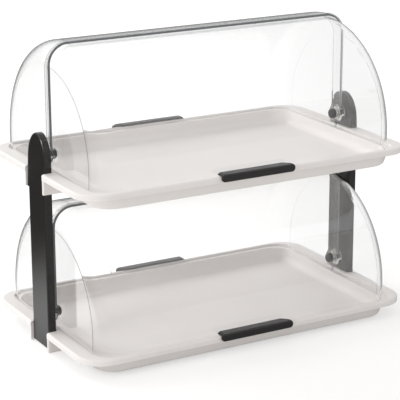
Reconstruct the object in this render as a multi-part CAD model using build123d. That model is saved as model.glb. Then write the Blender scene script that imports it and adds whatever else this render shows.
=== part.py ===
"""Two-tier countertop bread display: two trays under roll-top covers, carried on two end posts.

Frame: X runs along the trays, -Y is the front, +Z is up. The origin is the centre of the
footprint, on the surface that the rubber feet stand on. All sizes are in millimetres.
"""
from build123d import *
import math
import os

# ---------------------------------------------------------------- driving dimensions
# Tray: a shallow moulding with a broad rim and a turned-down lip
tray_length = 530.0
tray_width = 325.0
tray_corner_r = 40.0
lip_drop = 8.4              # height of the turned-down lip
lip_round_r = 3.2
lip_wall = 2.4
body_end_inset = 20.0       # lip to the body's wall at the short ends
body_side_inset = 4.0       # lip to the body's wall along the front and back
body_corner_r = 41.0
body_draft = 18.0           # slope of the body's outside, so that stacked trays nest
body_foot_r = 5.0
floor_depth = 23.2          # rim top to the inside of the floor
floor_wall = 2.8
bowl_floor_r = 12.0
draft_angle = 2.0           # moulding draft of the bowl

# Seat of the covers: a ledge let into the rim
ledge_depth = 3.0
ledge_side_clearance = 1.2  # ledge step to the cover, along the front and back
ledge_end_clearance = 3.5
bowl_side_margin = 1.6      # ledge kept inside the inner cover, along the front and back
bowl_end_margin = 1.2

# Tiers
tier_pitch = 232.0          # rim to rim
foot_height = 4.0           # tray to the counter

# Covers: two nested quarter drums for each tier, which turn on one line
pivot_height = 19.5         # pivot line above the rim
cover_side_margin = 7.6     # lip to the foot of the outer cover
cover_end_margin = 23.0     # lip to the end wall of the outer cover
cover_wall = 2.4
cover_corner_r = 30.0
nest_gap = 1.0              # between the outer and the inner cover
outer_overlap = 10.5        # outer cover's edge, past the pivot line
inner_overlap = 6.0         # inner cover's edge, past the pivot line
end_panel_rise = 0.5        # flat of the end walls, proud of the rounded corner
edge_rib_height = 1.5
edge_rib_width = 3.0
hub_r = 13.0
hub_height = 5.4            # outer cover's hub, out of its end wall
inner_hub_height = 1.0

# Pivot pins
pin_r = 4.0
pin_running_clearance = 0.06
pin_socket_clearance = 0.02
pin_socket_depth = 8.5
knob_r = 7.5
knob_length = 6.5
knob_round_r = 2.5
knob_gap = 0.3
washer_r = 11.0
washer_thickness = 2.1
washer_gap = 0.1            # each side of the washer

# Handles
handle_length = 118.0
handle_reach = 5.0          # handle's outer face, out of the lip
handle_top = 4.0            # above the rim
handle_drop = 7.5           # below the rim, in front of the lip
handle_rim_gap = 0.6
handle_skirt = 4.0          # thickness of the finger lip
handle_end_r = 5.4          # round ends, seen from the front
handle_end_taper = 17.0     # each end, shorter at the cover than in front
handle_edge_r = 2.5         # round the outer face
handle_seat_gap = 0.05
peg_r = 1.5
peg_spacing = 64.0
peg_gap = 0.05

# End posts: a column between the tiers and an arched bracket above
post_width = 55.0
post_reveal = 2.0           # lip to the outer face of the brackets, at their foot
plate_thickness = 3.2       # outer plate, which hangs over the lip
plate_gap = 0.2
column_step = 1.8           # column's outer face, behind the bracket's
bracket_lean = 3.6          # bracket's outer face, inwards from its foot to its top
column_side_step = 0.8      # column's sides, inside the bracket's
shoe_height = 3.0           # foot of the column that has the bracket's full width
arch_height = 52.0          # top of the bracket above the rim
arch_spring = 15.0          # where the arch starts, above the rim
post_edge_r = 2.5
lug_drop = 3.0              # tray lug below the tray
lug_depth = 24.0            # tray lug along X, from the plate inwards
lug_cheek = 4.0             # lug beside the plate, which closes the cut lip
lug_cheek_step = 0.5        # cheek's face, behind the lip's
lug_edge_r = 1.5

# Tie rods: clamp bracket, tray, column and tray together
rod_r = 2.0
rod_gap = 0.2
rod_spacing = 32.0          # along Y
rod_inset = 4.9             # rod's axis, behind the posts' inner face
nut_flats = 7.0
nut_thickness = 3.2
nut_pocket_depth = 4.2
nut_pocket_gap = 0.5
thread_gap = 0.04
insert_r = 3.0
insert_length = 9.0

# Feet
foot_r = 9.0
foot_taper_r = 7.5
foot_inset = 36.0           # foot's axis, inside the body's wall
foot_recess = 1.0           # seat of the foot, let into the floor
foot_recess_gap = 0.1

# ---------------------------------------------------------------- derived sizes
tray_height = floor_depth + floor_wall
lower_rim_z = tray_height + foot_height
rim_levels = {"lower": lower_rim_z, "upper": lower_rim_z + tier_pitch}

seat_drop = pivot_height + ledge_depth
outer_radius = math.hypot(tray_width / 2 - cover_side_margin, seat_drop)
outer_half_length = tray_length / 2 - cover_end_margin
inner_radius = outer_radius - cover_wall - nest_gap
inner_half_length = outer_half_length - cover_wall - nest_gap

ledge_half_width = tray_width / 2 - cover_side_margin + ledge_side_clearance
ledge_half_length = outer_half_length + ledge_end_clearance
inner_foot_y = math.sqrt((inner_radius - cover_wall) ** 2 - seat_drop**2)
bowl_half_width = inner_foot_y - bowl_side_margin
bowl_half_length = inner_half_length - cover_wall - bowl_end_margin

post_outer_x = tray_length / 2 - post_reveal
post_inner_x = outer_half_length + hub_height + washer_thickness + 2 * washer_gap
plate_inner_x = post_outer_x - plate_thickness
lug_face_x = plate_inner_x - plate_gap
lug_bottom = tray_height + lug_drop
notch_half_width = post_width / 2 + plate_gap
rod_x = post_inner_x + rod_inset
rod_y = rod_spacing / 2
rod_places = [(side * rod_x, row * rod_y) for side in (-1, 1) for row in (-1, 1)]
insert_bottom = 3.0         # above the upper rim


def span_box(x_range, y_range, z_range):
    """Box given by its limits along each axis."""
    sizes = [high - low for low, high in (x_range, y_range, z_range)]
    middle = [(high + low) / 2 for low, high in (x_range, y_range, z_range)]
    return Pos(*middle) * Box(*sizes)


def rounded_slab(half_length, half_width, corner_r, top, bottom, draft=0.0):
    """Slab with round corners, from top down to bottom, narrower below by the draft."""
    outline = RectangleRounded(2 * half_length, 2 * half_width, corner_r)
    return extrude(Pos(0, 0, top) * outline, top - bottom, dir=(0, 0, -1), taper=draft)


def long_outer_edges(solid, face_x):
    """Upright edges of the face at face_x."""
    upright = solid.edges().filter_by(Axis.Z)
    return upright.filter_by_position(Axis.X, face_x - 0.01, face_x + 0.01)


# ---------------------------------------------------------------- trays
def lip_shell():
    """Broad rim with a rounded shoulder and a turned-down lip, hollow underneath."""
    half_length, half_width = tray_length / 2, tray_width / 2
    rim = rounded_slab(half_length, half_width, tray_corner_r, 0, -lip_drop)
    rim = fillet(rim.edges().group_by(Axis.Z)[-1], lip_round_r)
    hollow = rounded_slab(
        half_length - lip_wall, half_width - lip_wall, tray_corner_r - lip_wall, -lip_wall, -lip_drop
    )
    return rim - fillet(hollow.edges().group_by(Axis.Z)[-1], lip_round_r - lip_wall)


def tray_body():
    """Outside of the tray below the rim, with its bottom edge rounded."""
    half_length = tray_length / 2 - body_end_inset
    half_width = tray_width / 2 - body_side_inset
    top = -lip_wall / 2
    body = rounded_slab(half_length, half_width, body_corner_r, top, -tray_height, body_draft)
    return fillet(body.edges().group_by(Axis.Z)[0], body_foot_r)


def tray_ledge():
    """Thick band under the ledge, and the recess that forms it."""
    band = rounded_slab(
        ledge_half_length + lip_wall,
        ledge_half_width + lip_wall,
        cover_corner_r + ledge_side_clearance + lip_wall,
        -lip_wall / 2,
        -ledge_depth - lip_wall,
    )
    recess = rounded_slab(
        ledge_half_length, ledge_half_width, cover_corner_r + ledge_side_clearance, 1, -ledge_depth
    )
    return band, recess


def tray_bowl():
    """Inside of the tray, with a wide radius between the walls and the floor."""
    corner_r = cover_corner_r - cover_wall
    bowl = rounded_slab(bowl_half_length, bowl_half_width, corner_r, 0, -floor_depth, draft_angle)
    return fillet(bowl.edges().group_by(Axis.Z)[0], bowl_floor_r)


def tray_lugs():
    """Solid blocks under the middle of both short ends, which take the tie rods."""
    lugs = Part()
    half_width = notch_half_width + lug_cheek
    cheek_x = tray_length / 2 - lug_cheek_step
    for side in (-1, 1):
        x_range = sorted((side * cheek_x, side * (lug_face_x - lug_depth)))
        lug = span_box(x_range, (-half_width, half_width), (-lug_bottom, -lip_round_r))
        lugs += fillet(long_outer_edges(lug, side * cheek_x), lug_edge_r)
    return lugs


def foot_places():
    """Axes of the four feet."""
    x = tray_length / 2 - body_end_inset - foot_inset
    y = tray_width / 2 - body_side_inset - foot_inset
    return [(sx * x, sy * y) for sx in (-1, 1) for sy in (-1, 1)]


def make_tray(rim_z):
    """One tray with its end lugs, notched at both ends for the posts' plates."""
    band, recess = tray_ledge()
    tray = lip_shell() + tray_body() + band + tray_lugs() - recess - tray_bowl()
    for side in (-1, 1):
        x_range = sorted((side * lug_face_x, side * (tray_length / 2 + 1)))
        notch = (-notch_half_width, notch_half_width)
        tray -= span_box(x_range, notch, (-lug_bottom - 1, 1))
    pocket_r = nut_flats / math.sqrt(3) + nut_pocket_gap
    for x, y in rod_places:
        tray -= Pos(x, y, -lug_bottom / 2) * Cylinder(rod_r + rod_gap, lug_bottom + 2)
        tray -= Pos(x, y, -lug_bottom + nut_pocket_depth / 2) * Cylinder(pocket_r, nut_pocket_depth)
    for x, y in foot_places():
        seat = Cylinder(foot_r + foot_recess_gap, foot_recess)
        tray -= Pos(x, y, -tray_height + foot_recess / 2) * seat
    return Pos(0, 0, rim_z) * tray


# ---------------------------------------------------------------- end posts
def rod_bores(bottom, top):
    """Clearance bores for the two tie rods of the right-hand post."""
    bores = Part()
    for row in (-1, 1):
        bore = Cylinder(rod_r + rod_gap, top - bottom)
        bores += Pos(rod_x, row * rod_y, (bottom + top) / 2) * bore
    return bores


def pin_socket(rim_z):
    """Blind hole in the inner face of a post, on the pivot line."""
    depth = pin_socket_depth + 1
    hole = Rot(0, 90, 0) * Cylinder(pin_r + pin_socket_clearance, depth)
    return Pos(post_inner_x + pin_socket_depth - depth / 2, 0, rim_z + pivot_height) * hole


def right_column():
    """Column that stands on the lower rim, its foot plate hanging over the lip."""
    rim_z = rim_levels["lower"]
    top = rim_levels["upper"] - lug_bottom
    half_width = post_width / 2 - column_side_step
    outer_x = post_outer_x - column_step
    column = span_box((post_inner_x, outer_x), (-half_width, half_width), (rim_z, top))
    column = fillet(long_outer_edges(column, outer_x), post_edge_r)
    half_shoe = post_width / 2
    shoe = span_box((post_inner_x, outer_x), (-half_shoe, half_shoe), (rim_z, rim_z + shoe_height))
    plate_bottom = rim_z - tray_height
    shoe += span_box((plate_inner_x, outer_x), (-half_shoe, half_shoe), (plate_bottom, rim_z))
    shoe = fillet(long_outer_edges(shoe, outer_x), post_edge_r)
    return column + shoe - pin_socket(rim_z) - rod_bores(rim_z - 1, top + 1)


def arch_outline():
    """Upright sides and a half-ellipse top, in the YZ plane, from the rim up."""
    half = post_width / 2
    sides = Pos(0, arch_spring / 2) * Rectangle(2 * half, arch_spring)
    crown = Pos(0, arch_spring) * Ellipse(half, arch_height - arch_spring)
    lower_half = Pos(0, -arch_height) * Rectangle(4 * half, 2 * arch_height)
    return sides + crown - lower_half


def lean_wedge(foot_z, top_z):
    """Wedge outside the bracket's outer face, which leans inwards towards the top."""
    clear_x = post_outer_x + 1
    corners = [(post_outer_x, foot_z), (clear_x, foot_z), (clear_x, top_z)]
    corners.append((post_outer_x - bracket_lean, top_z))
    across = Plane(origin=(0, post_width, 0), x_dir=(1, 0, 0), z_dir=(0, -1, 0))
    return extrude(across * Polygon(*corners, align=None), 2 * post_width)


def right_bracket():
    """Arched bracket above the upper rim, its plate hanging over the lip down to the column."""
    rim_z = rim_levels["upper"]
    half = post_width / 2
    outline = Plane(origin=(post_inner_x, 0, rim_z), x_dir=(0, 1, 0), z_dir=(1, 0, 0)) * arch_outline()
    bracket = extrude(outline, post_outer_x - post_inner_x)
    foot_z, top_z = rim_z - lug_bottom, rim_z + arch_height
    bracket += span_box((plate_inner_x, post_outer_x), (-half, half), (foot_z, rim_z))
    bracket -= lean_wedge(foot_z, top_z)
    leaning_face = bracket.faces().sort_by(SortBy.AREA)[-1]
    rounded = leaning_face.edges().filter_by_position(Axis.Z, foot_z + 1, top_z + 1)
    bracket = fillet(rounded, post_edge_r)
    return bracket - pin_socket(rim_z) - rod_bores(rim_z - 1, rim_z + insert_bottom) - insert_pockets()


def insert_pockets():
    """Blind holes in the bracket that hold the threaded inserts."""
    pockets = Part()
    middle = rim_levels["upper"] + insert_bottom + insert_length / 2
    for row in (-1, 1):
        pockets += Pos(rod_x, row * rod_y, middle) * Cylinder(insert_r, insert_length)
    return pockets


def mirrored(solid):
    """Left-hand copy of a right-hand piece."""
    return mirror(solid, about=Plane.YZ)


# ---------------------------------------------------------------- tie rods
def make_tie_rods():
    """Four studs, from the nuts under the lower tray up into the brackets."""
    bottom = rim_levels["lower"] - lug_bottom + nut_pocket_depth - nut_thickness
    top = rim_levels["upper"] + insert_bottom + insert_length - 1
    rod = Cylinder(rod_r, top - bottom)
    return [Pos(x, y, (bottom + top) / 2) * rod for x, y in rod_places]


def make_rod_nuts():
    """Hexagon nuts in the pockets of the lower tray's lugs."""
    hexagon = RegularPolygon(nut_flats / 2, 6, major_radius=False)
    nut = extrude(hexagon - Circle(rod_r + thread_gap), nut_thickness)
    seat_z = rim_levels["lower"] - lug_bottom + nut_pocket_depth
    return [Pos(x, y, seat_z - nut_thickness) * nut for x, y in rod_places]


def make_inserts():
    """Threaded inserts in the brackets."""
    insert = Cylinder(insert_r, insert_length) - Cylinder(rod_r + thread_gap, insert_length)
    middle = rim_levels["upper"] + insert_bottom + insert_length / 2
    return [Pos(x, y, middle) * insert for x, y in rod_places]


# ---------------------------------------------------------------- covers
def drum(radius, half_length, corner_r):
    """Drum about the pivot line with rounded ends."""
    solid = Rot(0, 90, 0) * Cylinder(radius, 2 * half_length)
    return fillet(solid.edges().filter_by(GeomType.CIRCLE), corner_r)


def drum_skin(radius, half_length, outside, inside):
    """Skin of a drum: from the surface out by outside, and in by inside."""
    shell = drum(radius + outside, half_length + outside, cover_corner_r + outside)
    return shell - drum(radius - inside, half_length - inside, cover_corner_r - inside)


def quarter_cover(radius, half_length, overlap, rib_outside, rib_inside):
    """Front-facing quarter of a drum: wall, ribbed meeting edge, hubs and handle holes."""
    reach = radius + edge_rib_height + 1
    wide = (-half_length - reach, half_length + reach)
    above = span_box(wide, (-reach, overlap), (0, reach))
    below = span_box(wide, (-reach, 0), (-seat_drop, 0))
    skin = drum_skin(radius, half_length, 0, cover_wall)
    for side in (-1, 1):
        panel_x = side * (half_length + end_panel_rise / 2)
        panel = Cylinder(radius - cover_corner_r, end_panel_rise)
        skin += Pos(panel_x, 0, 0) * Rot(0, 90, 0) * panel
    cover = skin & (above + below)
    rib_zone = span_box(wide, (overlap - edge_rib_width, overlap), (hub_r, reach))
    cover += drum_skin(radius, half_length, rib_outside, cover_wall + rib_inside) & rib_zone
    return cover


def add_hubs(cover, wall_outer_x, hub_outside, hub_inside):
    """Round hubs on both end walls, with the bore for the pivot pin."""
    inner = wall_outer_x - cover_wall - hub_inside
    length = cover_wall + hub_outside + hub_inside
    for side in (-1, 1):
        middle = side * (inner + length / 2)
        cover += Pos(middle, 0, 0) * Rot(0, 90, 0) * Cylinder(hub_r, length)
    for side in (-1, 1):
        middle = side * (inner + length / 2)
        bore = Cylinder(pin_r + pin_running_clearance, length + 2)
        cover -= Pos(middle, 0, 0) * Rot(0, 90, 0) * bore
    return cover


def handle_peg_holes(radius):
    """Holes near the foot of the cover for the handle's pegs."""
    holes = Part()
    z = (handle_rim_gap + handle_top) / 2 - pivot_height
    for x in (-peg_spacing / 2, peg_spacing / 2):
        hole = Rot(90, 0, 0) * Cylinder(peg_r + peg_gap, 4 * cover_wall)
        holes += Pos(x, -math.sqrt(radius**2 - z**2), z) * hole
    return holes


def outer_cover():
    """Larger half, which lies over the smaller one when it is rolled back."""
    cover = quarter_cover(outer_radius, outer_half_length, outer_overlap, edge_rib_height, 0)
    cover = add_hubs(cover, outer_half_length, hub_height, 0)
    return cover - handle_peg_holes(outer_radius)


def inner_cover():
    """Smaller half, which rolls up inside the larger one."""
    cover = quarter_cover(inner_radius, inner_half_length, inner_overlap, 0, edge_rib_height)
    cover = add_hubs(cover, inner_half_length, 0, inner_hub_height)
    return cover - handle_peg_holes(inner_radius)


# ---------------------------------------------------------------- handles
def handle_blank(face_y, back_y, top, bottom):
    """Solid bar with round ends that draw in towards the cover."""
    outline = RectangleRounded(handle_length, top - bottom, handle_end_r)
    upright = Plane(origin=(0, face_y, (top + bottom) / 2), x_dir=(1, 0, 0), z_dir=(0, -1, 0))
    bar = extrude(upright * outline, -(back_y - face_y))
    bar = fillet(bar.faces().sort_by(Axis.Y)[0].edges(), handle_edge_r)
    half = handle_length / 2
    start_y = face_y + handle_edge_r
    for side in (-1, 1):
        corner = [(half, start_y), (half + 1, start_y), (half + 1, back_y + 1)]
        corner.append((half - handle_end_taper, back_y + 1))
        wedge = Polygon(*[(side * x, y) for x, y in corner], align=None)
        bar -= extrude(Pos(0, 0, bottom - 1) * wedge, top - bottom + 2)
    return bar


def make_handle(radius):
    """Bar along the foot of a cover that reaches over the rim and down in front of the lip."""
    face_y = -tray_width / 2 - handle_reach
    top = handle_top - pivot_height
    rim = handle_rim_gap - pivot_height
    bottom = -handle_drop - pivot_height
    back_y = -math.sqrt(radius**2 - top**2) + cover_wall
    lip_space = span_box((-handle_length, handle_length), (face_y + handle_skirt, 0), (2 * bottom, rim))
    bar = handle_blank(face_y, back_y, top, bottom) - lip_space
    bar -= Rot(0, 90, 0) * Cylinder(radius + handle_seat_gap, 2 * handle_length)
    peg_z = (rim + top) / 2
    wall_y = math.sqrt((radius - cover_wall) ** 2 - peg_z**2)
    for x in (-peg_spacing / 2, peg_spacing / 2):
        bar += span_cylinder_y(x, peg_z, peg_r, (-wall_y - 3 * cover_wall, -wall_y))
    return bar


def span_cylinder_y(x, z, radius, y_range):
    """Cylinder along Y between two limits."""
    length = y_range[1] - y_range[0]
    return Pos(x, sum(y_range) / 2, z) * Rot(90, 0, 0) * Cylinder(radius, length)


# ---------------------------------------------------------------- pivots and feet
def right_pivot_pin(rim_z):
    """Knob inside the covers with a shank through both end walls into the post."""
    knob_face = inner_half_length - cover_wall - inner_hub_height - knob_gap
    knob = Pos(knob_face - knob_length / 2, 0, 0) * Rot(0, 90, 0) * Cylinder(knob_r, knob_length)
    knob = fillet(knob.edges().filter_by(GeomType.CIRCLE).sort_by(Axis.X)[0], knob_round_r)
    tip = post_inner_x + pin_socket_depth - knob_gap
    shank = Pos((knob_face + tip) / 2, 0, 0) * Rot(0, 90, 0) * Cylinder(pin_r, tip - knob_face)
    return Pos(0, 0, rim_z + pivot_height) * (knob + shank)


def right_washer(rim_z):
    """Washer between the outer cover's hub and the post."""
    middle = post_inner_x - washer_gap - washer_thickness / 2
    bore = Cylinder(pin_r + pin_running_clearance, washer_thickness)
    ring = Cylinder(washer_r, washer_thickness) - bore
    return Pos(middle, 0, rim_z + pivot_height) * Rot(0, 90, 0) * ring


def make_feet():
    """Rubber feet, seated in round recesses under the lower tray."""
    height = foot_height + foot_recess
    foot = Pos(0, 0, height / 2) * Cone(foot_taper_r, foot_r, height)
    return [Pos(x, y, 0) * foot for x, y in foot_places()]


# ---------------------------------------------------------------- assembly
parts = {}
for tier, rim_z in rim_levels.items():
    parts[f"{tier}_tray"] = [make_tray(rim_z)]
    at_pivot = Pos(0, 0, rim_z + pivot_height)
    turned = at_pivot * Rot(0, 0, 180)
    parts[f"{tier}_front_cover"] = [at_pivot * inner_cover()]
    parts[f"{tier}_back_cover"] = [turned * outer_cover()]
    parts[f"{tier}_front_handle"] = [at_pivot * make_handle(inner_radius)]
    parts[f"{tier}_back_handle"] = [turned * make_handle(outer_radius)]
    parts[f"{tier}_right_pivot_pin"] = [right_pivot_pin(rim_z)]
    parts[f"{tier}_left_pivot_pin"] = [mirrored(right_pivot_pin(rim_z))]
    parts[f"{tier}_pivot_washers"] = [right_washer(rim_z), mirrored(right_washer(rim_z))]

parts["right_column"] = [right_column()]
parts["left_column"] = [mirrored(right_column())]
parts["right_bracket"] = [right_bracket()]
parts["left_bracket"] = [mirrored(right_bracket())]
parts["tie_rods"] = make_tie_rods()
parts["rod_nuts"] = make_rod_nuts()
parts["threaded_inserts"] = make_inserts()
parts["rubber_feet"] = make_feet()

os.makedirs("parts", exist_ok=True)
for node, solids in parts.items():
    shape = solids[0] if len(solids) == 1 else Compound(children=solids)
    export_step(shape, f"parts/{node}.step")
    print(f"{node}: {len(solids)} solid(s)")
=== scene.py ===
"""Countertop bread display: two white trays under clear roll-top covers, on black end posts."""
import math

import bpy
import numpy as np
from mathutils import Matrix, Vector

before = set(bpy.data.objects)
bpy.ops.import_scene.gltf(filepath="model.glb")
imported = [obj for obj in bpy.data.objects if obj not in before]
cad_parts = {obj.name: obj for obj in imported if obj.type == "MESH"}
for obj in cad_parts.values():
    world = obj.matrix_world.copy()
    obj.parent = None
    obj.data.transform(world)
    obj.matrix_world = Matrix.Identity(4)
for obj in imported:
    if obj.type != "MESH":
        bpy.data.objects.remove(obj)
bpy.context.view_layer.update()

# ---------------------------------------------------------------- trays
# Each tray is one injection moulding in white ABS: a broad rim with a rolled lip, a ledge
# that the covers stand on, and a shallow bowl. Both come out of the same mould. The polished
# mould leaves a soft gloss, and sink over the thick corners makes it wander a little.
TRAY_ABS = "#E9E5E3"
TRAY_ABS_SHADE = "#E4E0DD"


def linear(hex_colour):
    """Linear RGBA of an sRGB hex value: the sRGB curve on each of its three channels."""
    srgb = np.array([int(hex_colour[i:i + 2], 16) for i in (1, 3, 5)]) / 255.0
    rgb = np.where(srgb <= 0.04045, srgb / 12.92, ((srgb + 0.055) / 1.055) ** 2.4)
    return (*rgb.tolist(), 1.0)


def add(tree, kind, settings=(), **sockets):
    """One shader node with its settings. A socket is named, or numbered after an underscore,
    and takes a value, or a link as (node, output)."""
    made = tree.nodes.new(kind)
    for name, value in dict(settings).items():
        setattr(made, name, value)
    for name, value in sockets.items():
        number = name[1:]
        socket = made.inputs[int(number) if number.isdigit() else name.replace("_", " ")]
        if isinstance(value, tuple) and isinstance(value[0], bpy.types.Node):
            tree.links.new(value[0].outputs[value[1]], socket)
        else:
            socket.default_value = value
    return made


def blank_finish(name):
    """A new material, and its empty node tree."""
    finish = bpy.data.materials.new(name)
    finish.use_nodes = True
    finish.node_tree.nodes.clear()
    return finish, finish.node_tree


def moulded(name, colour, shade, roughness, grain_mm, grain_depth_mm, gloss=0.5):
    """A moulded plastic or rubber: its colour and roughness wander between two close values
    about every wander_mm, and the mould's fine grain, drawn coarse enough to show, breaks
    the gloss."""
    wander_mm = 60
    smoother, rougher = 0.88, 1.14
    finish, tree = blank_finish(name)
    place = add(tree, "ShaderNodeTexCoord")
    wander = add(tree, "ShaderNodeTexNoise", Vector=(place, "Object"),
                 Scale=1000 / wander_mm, Detail=2.0)
    tint = add(tree, "ShaderNodeMix", {"data_type": "RGBA"}, Factor=(wander, "Fac"),
               _6=linear(colour), _7=linear(shade))
    rough = add(tree, "ShaderNodeMapRange", Value=(wander, "Fac"),
                To_Min=roughness * smoother, To_Max=roughness * rougher)
    grain = add(tree, "ShaderNodeTexNoise", Vector=(place, "Object"),
                Scale=1000 / grain_mm, Detail=3.0)
    bump = add(tree, "ShaderNodeBump", Height=(grain, "Fac"),
               Distance=grain_depth_mm / 1000, Strength=0.6)
    shell = add(tree, "ShaderNodeBsdfPrincipled", Base_Color=(tint, 2), Roughness=(rough, "Result"),
                Normal=(bump, "Normal"), Specular_IOR_Level=gloss)
    add(tree, "ShaderNodeOutputMaterial", Surface=(shell, "BSDF"))
    return finish


def dress(nodes, finish):
    """Puts one finish on the frame's own solids."""
    for name in nodes:
        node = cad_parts[name]
        node.data.materials.clear()
        node.data.materials.append(finish)


tray_finish = moulded("white_abs_soft_gloss", TRAY_ABS, TRAY_ABS_SHADE, roughness=0.34,
                      grain_mm=1.6, grain_depth_mm=0.02, gloss=0.35)
dress(["lower_tray", "upper_tray"], tray_finish)

# ---------------------------------------------------------------- rubber feet
# Four round feet pressed into seats under the lower tray, in soft grey rubber.
# Cast rubber is dull and slightly mottled.
FOOT_RUBBER = "#8E8C89"
FOOT_RUBBER_SHADE = "#858380"
foot_finish = moulded("grey_rubber_dull", FOOT_RUBBER, FOOT_RUBBER_SHADE, roughness=0.72,
                      grain_mm=1.2, grain_depth_mm=0.04)
dress(["rubber_feet"], foot_finish)

# ---------------------------------------------------------------- end posts
# A column between the trays and an arched bracket above, each a black ABS moulding.
# The mould is spark-eroded, which leaves a fine even grain and a satin sheen that picks
# up the pale pool painted on the counter at a low angle, a painted reflection.
POST_ABS = "#191716"
POST_ABS_SHADE = "#1F1C1B"
POSTS = ("left_column", "right_column", "left_bracket", "right_bracket")
post_finish = moulded("black_abs_satin", POST_ABS, POST_ABS_SHADE, roughness=0.30,
                      grain_mm=0.9, grain_depth_mm=0.03)
dress(POSTS, post_finish)

# ---------------------------------------------------------------- tie rods
# Stainless studs clamp bracket, tray, column and tray together; hexagon nuts close them
# below, and brass inserts hold them above. Turning leaves fine rings round the metal.
ROD_STEEL = "#B9B8B4"
INSERT_BRASS = "#C9A75A"


def turned_metal(name, colour, roughness, ring_mm):
    """Bare metal with a turned ring across Z every ring_mm, drawn coarse enough to show. A
    wave at scale 1 repeats every pi / 10 metres, so its scale is 100 pi over ring_mm."""
    finish, tree = blank_finish(name)
    place = add(tree, "ShaderNodeTexCoord")
    rings = add(tree, "ShaderNodeTexWave", {"bands_direction": "Z"}, Vector=(place, "Object"),
                Scale=math.pi * 100 / ring_mm)
    bump = add(tree, "ShaderNodeBump", Height=(rings, "Fac"), Distance=0.00005, Strength=0.5)
    metal = add(tree, "ShaderNodeBsdfPrincipled", Base_Color=linear(colour), Metallic=1.0,
                Roughness=roughness, Normal=(bump, "Normal"))
    add(tree, "ShaderNodeOutputMaterial", Surface=(metal, "BSDF"))
    return finish


dress(["tie_rods", "rod_nuts"],
      turned_metal("stainless_steel_drawn", ROD_STEEL, roughness=0.32, ring_mm=0.7))
dress(["threaded_inserts"],
      turned_metal("brass_knurled", INSERT_BRASS, roughness=0.35, ring_mm=0.8))

# ---------------------------------------------------------------- covers
# Four quarter drums in clear SAN, polished both sides; each tier's back half is the outer
# one. SAN is glass-clear with a faint cool cast, and grey where light runs along the wall;
# more grey is painted on at a glancing angle, painted shade that darkens their outlines.
# On the outer half's long edge face a dull grey is painted, painted shade that draws the
# seam as one dull grey line.
SAN_CLEAR = "#FEFEFE"
# The glancing grey is painted shade that darkens the covers' outlines.
SAN_GLANCING_PAINTED_SHADE = "#C4C7C9"
# The seam grey is painted shade on the outer half's edge face.
SAN_SEAM_PAINTED_SHADE = "#8B8E91"
SAN_BODY = "#C3C8CB"
SEAM_EDGE_Y = -0.0105
SEAM_EDGE_REACH = 0.0003
SEAM_SHADE_SHARE = 0.6
WALL_PASSES = 0.985


def clear_san(name, seam_y=None):
    """Polished clear plastic that greys at a glancing angle, by the ninth power of its facing,
    a painted shade on its outlines. Where the seam's Y is given, in metres, the edge face on
    that Y is painted a dull grey, painted shade for the seam. Rays that only carry light to
    other pieces go straight through."""
    finish, tree = blank_finish(name)
    ray = add(tree, "ShaderNodeLightPath")
    glance = add(tree, "ShaderNodeLayerWeight", Blend=0.5)
    # Painted shade: grey mixed in by the ninth power of the facing darkens the outlines.
    glancing_shade = add(tree, "ShaderNodeMath", {"operation": "POWER"}, _0=(glance, "Facing"), _1=9.0)
    tint = add(tree, "ShaderNodeMix", {"data_type": "RGBA"}, Factor=(glancing_shade, "Value"),
               _6=linear(SAN_CLEAR), _7=linear(SAN_GLANCING_PAINTED_SHADE))
    wall = add(tree, "ShaderNodeBsdfPrincipled", Base_Color=(tint, 2), Roughness=0.01,
               IOR=1.5, Transmission_Weight=1.0)
    shell = (wall, "BSDF")
    if seam_y is not None:
        place = add(tree, "ShaderNodeTexCoord")
        along = add(tree, "ShaderNodeSeparateXYZ", Vector=(place, "Object"))
        on_edge = add(tree, "ShaderNodeMath", {"operation": "COMPARE"},
                      _0=(along, "Y"), _1=seam_y, _2=SEAM_EDGE_REACH)
        seam_shade = add(tree, "ShaderNodeMath", {"operation": "MULTIPLY"},
                    _0=(on_edge, "Value"), _1=SEAM_SHADE_SHARE)
        # Painted shade: a dull grey painted on the edge face draws the seam line.
        seam_paint = add(tree, "ShaderNodeBsdfPrincipled", Base_Color=linear(SAN_SEAM_PAINTED_SHADE), Roughness=0.42)
        edged = add(tree, "ShaderNodeMixShader", _0=(seam_shade, "Value"),
                    _1=(wall, "BSDF"), _2=(seam_paint, "BSDF"))
        shell = (edged, "Shader")
    open_wall = add(tree, "ShaderNodeBsdfTransparent",
                    Color=(WALL_PASSES, WALL_PASSES, WALL_PASSES, 1.0))
    lighting = add(tree, "ShaderNodeMath", {"operation": "MAXIMUM"},
                   _0=(ray, "Is Shadow Ray"), _1=(ray, "Is Diffuse Ray"))
    surface = add(tree, "ShaderNodeMixShader", _0=(lighting, "Value"),
                  _1=shell, _2=(open_wall, "BSDF"))
    body = add(tree, "ShaderNodeVolumeAbsorption", Color=linear(SAN_BODY), Density=3.0)
    add(tree, "ShaderNodeOutputMaterial", Surface=(surface, "Shader"), Volume=(body, "Volume"))
    return finish


dress(["lower_front_cover", "upper_front_cover"], clear_san("clear_san_front"))
dress(["lower_back_cover", "upper_back_cover"], clear_san("clear_san_back", SEAM_EDGE_Y))

# ---------------------------------------------------------------- handles
# A bar along the foot of each cover, pegged to it, that reaches over the tray's lip.
# Black ABS from the same grained kind of mould as the posts.
HANDLE_ABS = "#181615"
HANDLE_ABS_SHADE = "#1E1B1B"
handle_finish = moulded("black_abs_handle", HANDLE_ABS, HANDLE_ABS_SHADE, roughness=0.34,
                        grain_mm=0.9, grain_depth_mm=0.03)
dress([f"{tier}_{half}_handle" for tier in ("lower", "upper") for half in ("front", "back")],
      handle_finish)

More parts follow.
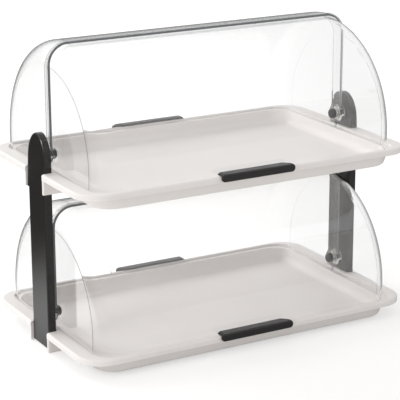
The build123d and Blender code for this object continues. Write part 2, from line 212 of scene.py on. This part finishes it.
# ---------------------------------------------------------------- pivots
# Acetal pins with a round knob inside the covers, and nylon washers against the posts.
# Acetal is waxy and takes a soft gloss from the mould; nylon is plain and duller.
PIN_ACETAL = "#232122"
PIN_ACETAL_SHADE = "#292728"
WASHER_NYLON = "#D8D6D0"
WASHER_NYLON_SHADE = "#D2D0C9"
pin_finish = moulded("black_acetal_waxy", PIN_ACETAL, PIN_ACETAL_SHADE, roughness=0.30,
                     grain_mm=1.0, grain_depth_mm=0.02)
washer_finish = moulded("natural_nylon_plain", WASHER_NYLON, WASHER_NYLON_SHADE, roughness=0.45,
                        grain_mm=1.0, grain_depth_mm=0.02)
dress([f"{tier}_{side}_pivot_pin" for tier in ("lower", "upper") for side in ("left", "right")],
      pin_finish)
dress(["lower_pivot_washers", "upper_pivot_washers"], washer_finish)

# ---------------------------------------------------------------- counter
# A plain matt white counter that runs out of sight. It is white to the eye and through the
# covers, and keeps the display's soft shadow. In gloss it shows a painted reflection: a pale
# pool of light painted beside the left post, dark further off, so the posts' gloss fades up.
COUNTER_WHITE = "#F5F3F1"
PURE_WHITE = linear("#FFFFFF")
COUNTER_HALF = 6.0
BESIDE_LEFT_POST = (-0.42, 0.10, 0.0)
LEFT_TO_RIGHT = (0.869, -0.495, 0.0)
WHITE_TO_THE_EYE = 0.46
WHITE_THROUGH_COVERS = 0.90
REFLECTION_LOST_IN_COVERS = 0.48


def mirrored_share(tree, ray):
    """How far a path sees a surface as a reflection: 1 once it was mirrored, less if it went
    through a cover as well, and 0 if it wasn't mirrored or only lights a piece."""
    mirrored = add(tree, "ShaderNodeMath", {"operation": "GREATER_THAN"},
                   _0=(ray, "Glossy Depth"), _1=(ray, "Is Diffuse Ray"))
    kept = add(tree, "ShaderNodeMath", {"operation": "MULTIPLY_ADD"},
               _0=(ray, "Is Transmission Ray"), _1=-REFLECTION_LOST_IN_COVERS, _2=1.0)
    return add(tree, "ShaderNodeMath", {"operation": "MULTIPLY"},
               _0=(mirrored, "Value"), _1=(kept, "Value"))


counter_mesh = bpy.data.meshes.new("counter")
corners = np.array([[-1, -1], [1, -1], [1, 1], [-1, 1]]) * COUNTER_HALF
counter_mesh.from_pydata(np.column_stack([corners, np.zeros(4)]).tolist(), [], [(0, 1, 2, 3)])
counter = bpy.data.objects.new("counter", counter_mesh)
bpy.context.scene.collection.objects.link(counter)

counter_finish, tree = blank_finish("white_counter")
place = add(tree, "ShaderNodeTexCoord")
ray = add(tree, "ShaderNodeLightPath")
matt = add(tree, "ShaderNodeBsdfDiffuse", Color=linear(COUNTER_WHITE))
off = add(tree, "ShaderNodeVectorMath", {"operation": "DISTANCE"},
          _0=(place, "Object"), _1=BESIDE_LEFT_POST)

# A share of it is a painted white glow, whatever the light. That glow grows with the distance
# in metres, painted light where the lamps reach less, and through the covers it is brighter on
# the left, painted light that whitens the covers' left end walls. A strength of 1 is white.
painted_glow_by_distance = add(tree, "ShaderNodeMapRange", Value=(off, "Value"),
                 From_Min=0.7, From_Max=2.4, To_Min=1.20, To_Max=1.45)
sideways = add(tree, "ShaderNodeVectorMath", {"operation": "DOT_PRODUCT"},
               _0=(place, "Object"), _1=LEFT_TO_RIGHT)
painted_glow_through_covers = add(tree, "ShaderNodeMapRange", Value=(sideways, "Value"),
                     From_Min=-0.32, From_Max=0.36, To_Min=1.34, To_Max=1.0)
strength = add(tree, "ShaderNodeMix", {"data_type": "FLOAT"}, _0=(ray, "Is Transmission Ray"),
               _2=(painted_glow_by_distance, "Result"), _3=(painted_glow_through_covers, "Result"))
painted_white_glow = add(tree, "ShaderNodeEmission", Color=PURE_WHITE, Strength=(strength, 0))
eye_share = add(tree, "ShaderNodeMath", {"operation": "MULTIPLY"},
                _0=(ray, "Is Camera Ray"), _1=WHITE_TO_THE_EYE)
white_share = add(tree, "ShaderNodeMath", {"operation": "MULTIPLY_ADD"},
                  _0=(ray, "Is Transmission Ray"), _1=WHITE_THROUGH_COVERS,
                  _2=(eye_share, "Value"))
seen = add(tree, "ShaderNodeMixShader", _0=(white_share, "Value"),
           _1=(matt, "BSDF"), _2=(painted_white_glow, "Emission"))

# Painted reflection for gloss: a pale pool of light beside the left post, paler ground in front.
painted_pool = add(tree, "ShaderNodeMapRange", {"interpolation_type": "SMOOTHSTEP"},
           Value=(off, "Value"), From_Min=0.06, From_Max=0.34, To_Min=1.25, To_Max=0.08)
forwards = add(tree, "ShaderNodeSeparateXYZ", Vector=(place, "Object"))
painted_ground = add(tree, "ShaderNodeMapRange", {"interpolation_type": "SMOOTHSTEP"},
             Value=(forwards, "Y"), From_Min=0.0, From_Max=-0.4, To_Min=0.0, To_Max=0.5)
painted_pool_and_ground = add(tree, "ShaderNodeMath", {"operation": "ADD"},
                      _0=(painted_pool, "Result"), _1=(painted_ground, "Result"))
painted_reflection = add(tree, "ShaderNodeEmission", Color=PURE_WHITE,
                 Strength=(painted_pool_and_ground, "Value"))
counter_mix = add(tree, "ShaderNodeMixShader", _0=(mirrored_share(tree, ray), "Value"),
                  _1=(seen, "Shader"), _2=(painted_reflection, "Emission"))
add(tree, "ShaderNodeOutputMaterial", Surface=(counter_mix, "Shader"))
counter_finish.cycles.emission_sampling = "NONE"
counter_mesh.materials.append(counter_finish)

# ---------------------------------------------------------------- room
# A plain pale room gives most of the soft light. It is white to the eye and a little brighter
# through the covers, and in the gloss it darkens from 30 degrees up down to the horizon.
scene = bpy.context.scene
scene.view_settings.view_transform = "Standard"
room = bpy.data.worlds.new("pale_room")
scene.world = room
room.use_nodes = True
tree = room.node_tree
tree.nodes.clear()
ray = add(tree, "ShaderNodeLightPath")
place = add(tree, "ShaderNodeTexCoord")
soft_light = add(tree, "ShaderNodeBackground", Color=PURE_WHITE, Strength=0.79)
white_wall = add(tree, "ShaderNodeBackground", Color=PURE_WHITE, Strength=1.0)
wall_through_covers = add(tree, "ShaderNodeBackground", Color=PURE_WHITE, Strength=1.13)
height = add(tree, "ShaderNodeSeparateXYZ", Vector=(place, "Generated"))
wall_fade = add(tree, "ShaderNodeMapRange", {"interpolation_type": "SMOOTHSTEP"},
                Value=(height, "Z"), From_Min=0.0, From_Max=0.5, To_Min=0.25, To_Max=1.0)
mirrored_wall = add(tree, "ShaderNodeBackground", Color=PURE_WHITE,
                    Strength=(wall_fade, "Result"))
direct = add(tree, "ShaderNodeMixShader", _0=(ray, "Is Camera Ray"),
             _1=(soft_light, "Background"), _2=(white_wall, "Background"))
seen = add(tree, "ShaderNodeMixShader", _0=(ray, "Is Transmission Ray"),
           _1=(direct, "Shader"), _2=(wall_through_covers, "Background"))
room_mix = add(tree, "ShaderNodeMixShader", _0=(mirrored_share(tree, ray), "Value"),
               _1=(seen, "Shader"), _2=(mirrored_wall, "Background"))
add(tree, "ShaderNodeOutputWorld", Surface=(room_mix, "Shader"))

# ---------------------------------------------------------------- lamps
# A broad lamp behind the display, low enough to reach under the upper tray, and a weaker one
# at its left. A small one only glints on the posts, along the rounded edges of the brackets.
DISPLAY_LOW = (0, 0, 0.15)
DISPLAY_MIDDLE = (0, 0, 0.25)


def lamp(name, place, aim, side, watts):
    """A square lamp with the given side in metres, at place, that faces aim and isn't seen."""
    light = bpy.data.lights.new(name, "AREA")
    light.shape = "SQUARE"
    light.size = side
    light.energy = watts
    made = bpy.data.objects.new(name, light)
    made.location = place
    facing = Vector(aim) - Vector(place)
    made.rotation_euler = facing.to_track_quat("-Z", "Y").to_euler()
    made.visible_glossy = made.visible_transmission = made.visible_camera = False
    scene.collection.objects.link(made)
    return made


lamp("back_lamp", (-1.1, 2.3, 1.45), DISPLAY_LOW, side=1.8, watts=44)
lamp("left_lamp", (-2.2, -0.3, 1.1), DISPLAY_MIDDLE, side=1.2, watts=14)
edge_lamp = lamp("edge_lamp", (-2.0, -0.2, 1.6), DISPLAY_MIDDLE, side=0.5, watts=40)
edge_lamp.visible_glossy = True
edge_lamp.visible_diffuse = False
lit_by_edge_lamp = bpy.data.collections.new("lit_by_edge_lamp")
for name in POSTS:
    lit_by_edge_lamp.objects.link(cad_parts[name])
edge_lamp.light_linking.receiver_collection = lit_by_edge_lamp

# ---------------------------------------------------------------- camera
# A long lens from the front left, a little above the display and looking down on it. The
# lens has no shift, so the display also stays in the frame from any other side.
AZIMUTH, ELEVATION, ROLL = map(math.radians, (29.646, 16.665, -0.179))
AIM = Vector((0.02040, 0.03541, 0.16651))
DISTANCE = 2.4132
SENSOR_MM = 36.0
LENS_MM = 144.6669
forward = Vector((math.sin(AZIMUTH) * math.cos(ELEVATION),
                  math.cos(AZIMUTH) * math.cos(ELEVATION),
                  -math.sin(ELEVATION)))
level = Vector((math.cos(AZIMUTH), -math.sin(AZIMUTH), 0.0))
upward = level.cross(forward)
right = level * math.cos(ROLL) + upward * math.sin(ROLL)
up = upward * math.cos(ROLL) - level * math.sin(ROLL)
eye = AIM - forward * DISTANCE
view = bpy.data.cameras.new("camera")
view.sensor_width = SENSOR_MM
view.lens = LENS_MM
camera = bpy.data.objects.new("camera", view)
turned = Matrix((right, up, -forward)).transposed().to_4x4()
camera.matrix_world = Matrix.Translation(eye) @ turned
scene.collection.objects.link(camera)
scene.camera = camera
